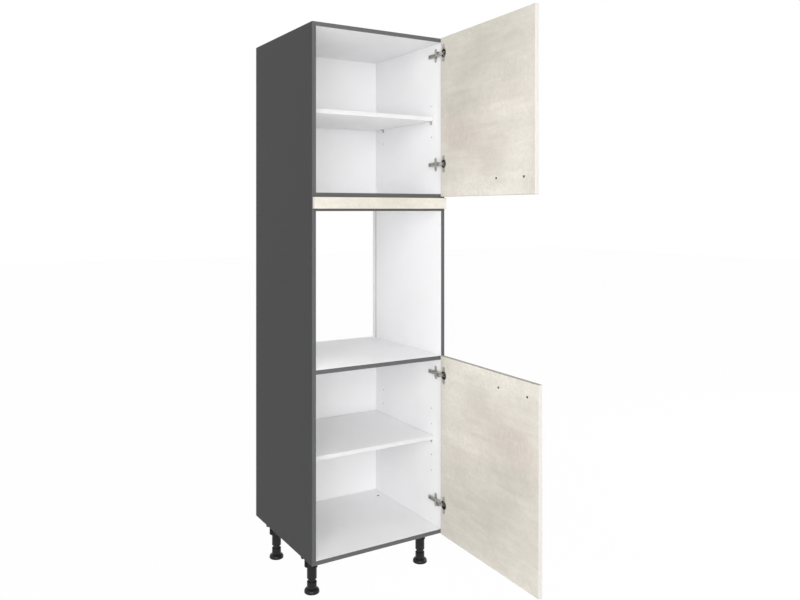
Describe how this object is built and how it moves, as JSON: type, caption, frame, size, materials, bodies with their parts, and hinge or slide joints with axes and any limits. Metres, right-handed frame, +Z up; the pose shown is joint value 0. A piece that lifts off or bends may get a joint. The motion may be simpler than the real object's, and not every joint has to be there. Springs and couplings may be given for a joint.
{
  "type": "tall oven housing unit",
  "caption": "Tall kitchen housing with an open oven niche between shelved compartments above and below, each closed by a door on concealed hinges, on adjustable feet.",
  "frame": {"origin": "on the floor, below the middle of the whole unit as modelled, open doors included; the front edges of the carcass are at Y 0.02687 and its rear edges at Y 0.57687", "axes": "+Z up; +X to the right of a person facing the unit; the front faces -Y and the doors, hung on the right, are modelled open"},
  "size_m": [0.6, 1.1538, 2.166],
  "materials": {
    "anthracite_board": "matt melamine facing, anthracite, white on the inside",
    "white_board": "satin white melamine facing",
    "concrete_board": "matt decor foil like pale concrete",
    "white_hardboard": "white lacquered hardboard",
    "nickel_steel": "bright nickel-plated pressed steel",
    "black_plastic": "moulded, slightly glossy",
    "clear_plastic": "soft clear polyurethane"
  },
  "bodies": {
    "carcass": {"side_panel_left": "anthracite_board", "side_panel_right": "anthracite_board", "bottom_panel": "white_board", "niche_floor_panel": "white_board", "niche_top_panel": "white_board", "upper_floor_panel": "white_board", "top_panel": "white_board", "lower_back_panel": "white_hardboard", "upper_back_panel": "white_hardboard", "filler_rail": "concrete_board", "lower_shelf_support_front_left": "nickel_steel", "lower_shelf_support_front_right": "nickel_steel", "lower_shelf_support_rear_left": "nickel_steel", "lower_shelf_support_rear_right": "nickel_steel", "upper_shelf_support_front_left": "nickel_steel", "upper_shelf_support_front_right": "nickel_steel", "upper_shelf_support_rear_left": "nickel_steel", "upper_shelf_support_rear_right": "nickel_steel", "leg_socket_front_left": "black_plastic", "leg_socket_front_right": "black_plastic", "leg_socket_rear_left": "black_plastic", "leg_socket_rear_right": "black_plastic", "leg_tube_front_left": "black_plastic", "leg_tube_front_right": "black_plastic", "leg_tube_rear_left": "black_plastic", "leg_tube_rear_right": "black_plastic", "lower_door_bottom_hinge_plate": "nickel_steel", "lower_door_bottom_hinge_arm": "nickel_steel", "lower_door_top_hinge_plate": "nickel_steel", "lower_door_top_hinge_arm": "nickel_steel", "upper_door_bottom_hinge_plate": "nickel_steel", "upper_door_bottom_hinge_arm": "nickel_steel", "upper_door_top_hinge_plate": "nickel_steel", "upper_door_top_hinge_arm": "nickel_steel"},
    "lower_shelf_board": {"lower_shelf": "white_board"},
    "upper_shelf_board": {"upper_shelf": "white_board"},
    "foot_front_left": {"levelling_foot_front_left": "black_plastic"},
    "foot_front_right": {"levelling_foot_front_right": "black_plastic"},
    "foot_rear_left": {"levelling_foot_rear_left": "black_plastic"},
    "foot_rear_right": {"levelling_foot_rear_right": "black_plastic"},
    "upper_top_outer_link": {"upper_door_top_hinge_outer_link": "nickel_steel"},
    "upper_top_inner_link": {"upper_door_top_hinge_inner_link": "nickel_steel"},
    "upper_bottom_outer_link": {"upper_door_bottom_hinge_outer_link": "nickel_steel"},
    "upper_bottom_inner_link": {"upper_door_bottom_hinge_inner_link": "nickel_steel"},
    "upper_leaf": {"upper_door": "concrete_board", "upper_door_top_hinge_cup": "nickel_steel", "upper_door_bottom_hinge_cup": "nickel_steel", "upper_door_bumper_top": "clear_plastic", "upper_door_bumper_bottom": "clear_plastic"},
    "lower_top_outer_link": {"lower_door_top_hinge_outer_link": "nickel_steel"},
    "lower_top_inner_link": {"lower_door_top_hinge_inner_link": "nickel_steel"},
    "lower_bottom_outer_link": {"lower_door_bottom_hinge_outer_link": "nickel_steel"},
    "lower_bottom_inner_link": {"lower_door_bottom_hinge_inner_link": "nickel_steel"},
    "lower_leaf": {"lower_door": "concrete_board", "lower_door_top_hinge_cup": "nickel_steel", "lower_door_bottom_hinge_cup": "nickel_steel", "lower_door_bumper_top": "clear_plastic", "lower_door_bumper_bottom": "clear_plastic"}
  },
  "joints": [
    {"name": "upper_door_swing", "type": "hinge", "parent": "upper_top_outer_link", "child": "upper_leaf", "pos_m": [0.28361, 0.00732, 2.102], "axis": [0, 0, 1], "range_deg": [-113.31, 11.13]},
    {"name": "upper_top_outer_link_turn", "type": "hinge", "parent": "carcass", "child": "upper_top_outer_link", "pos_m": [0.26615, 0.01707, 2.102], "axis": [0, 0, 1], "range_deg": [-2.8, 27]},
    {"name": "upper_top_inner_link_turn", "type": "hinge", "parent": "carcass", "child": "upper_top_inner_link", "pos_m": [0.263, 0.03037, 2.102], "axis": [0, 0, 1], "range_deg": [-3.7, 36.4]},
    {"name": "upper_bottom_outer_link_turn", "type": "hinge", "parent": "carcass", "child": "upper_bottom_outer_link", "pos_m": [0.26615, 0.01707, 1.654], "axis": [0, 0, 1], "range_deg": [-2.8, 27]},
    {"name": "upper_bottom_inner_link_turn", "type": "hinge", "parent": "carcass", "child": "upper_bottom_inner_link", "pos_m": [0.263, 0.03037, 1.654], "axis": [0, 0, 1], "range_deg": [-3.7, 36.4]},
    {"name": "lower_door_swing", "type": "hinge", "parent": "lower_top_outer_link", "child": "lower_leaf", "pos_m": [0.28353, 0.00718, 0.798], "axis": [0, 0, 1], "range_deg": [-115.28, 9.17]},
    {"name": "lower_top_outer_link_turn", "type": "hinge", "parent": "carcass", "child": "lower_top_outer_link", "pos_m": [0.26615, 0.01707, 0.798], "axis": [0, 0, 1], "range_deg": [-2.3, 27.4]},
    {"name": "lower_top_inner_link_turn", "type": "hinge", "parent": "carcass", "child": "lower_top_inner_link", "pos_m": [0.263, 0.03037, 0.798], "axis": [0, 0, 1], "range_deg": [-3.1, 37]},
    {"name": "lower_bottom_outer_link_turn", "type": "hinge", "parent": "carcass", "child": "lower_bottom_outer_link", "pos_m": [0.26615, 0.01707, 0.274], "axis": [0, 0, 1], "range_deg": [-2.3, 27.4]},
    {"name": "lower_bottom_inner_link_turn", "type": "hinge", "parent": "carcass", "child": "lower_bottom_inner_link", "pos_m": [0.263, 0.03037, 0.274], "axis": [0, 0, 1], "range_deg": [-3.1, 37]},
    {"name": "upper_shelf_lift", "type": "slide", "parent": "carcass", "child": "upper_shelf_board", "axis": [0, 0, 1], "range_m": [0, 0.03]},
    {"name": "lower_shelf_lift", "type": "slide", "parent": "carcass", "child": "lower_shelf_board", "axis": [0, 0, 1], "range_m": [0, 0.03]},
    {"name": "foot_front_left_screw", "type": "slide", "parent": "carcass", "child": "foot_front_left", "axis": [0, 0, -1], "range_m": [-0.01, 0.02]},
    {"name": "foot_front_right_screw", "type": "slide", "parent": "carcass", "child": "foot_front_right", "axis": [0, 0, -1], "range_m": [-0.01, 0.02]},
    {"name": "foot_rear_left_screw", "type": "slide", "parent": "carcass", "child": "foot_rear_left", "axis": [0, 0, -1], "range_m": [-0.01, 0.02]},
    {"name": "foot_rear_right_screw", "type": "slide", "parent": "carcass", "child": "foot_rear_right", "axis": [0, 0, -1], "range_m": [-0.01, 0.02]}
  ],
  "couplings": [
    {"joint": "upper_top_outer_link_turn", "follows": "upper_door_swing", "ratio": -0.23664},
    {"joint": "upper_bottom_outer_link_turn", "follows": "upper_door_swing", "ratio": -0.23664},
    {"joint": "upper_top_inner_link_turn", "follows": "upper_door_swing", "ratio": -0.31999},
    {"joint": "upper_bottom_inner_link_turn", "follows": "upper_door_swing", "ratio": -0.31999},
    {"joint": "lower_top_outer_link_turn", "follows": "lower_door_swing", "ratio": -0.23664},
    {"joint": "lower_bottom_outer_link_turn", "follows": "lower_door_swing", "ratio": -0.23664},
    {"joint": "lower_top_inner_link_turn", "follows": "lower_door_swing", "ratio": -0.31968},
    {"joint": "lower_bottom_inner_link_turn", "follows": "lower_door_swing", "ratio": -0.31968}
  ]
}
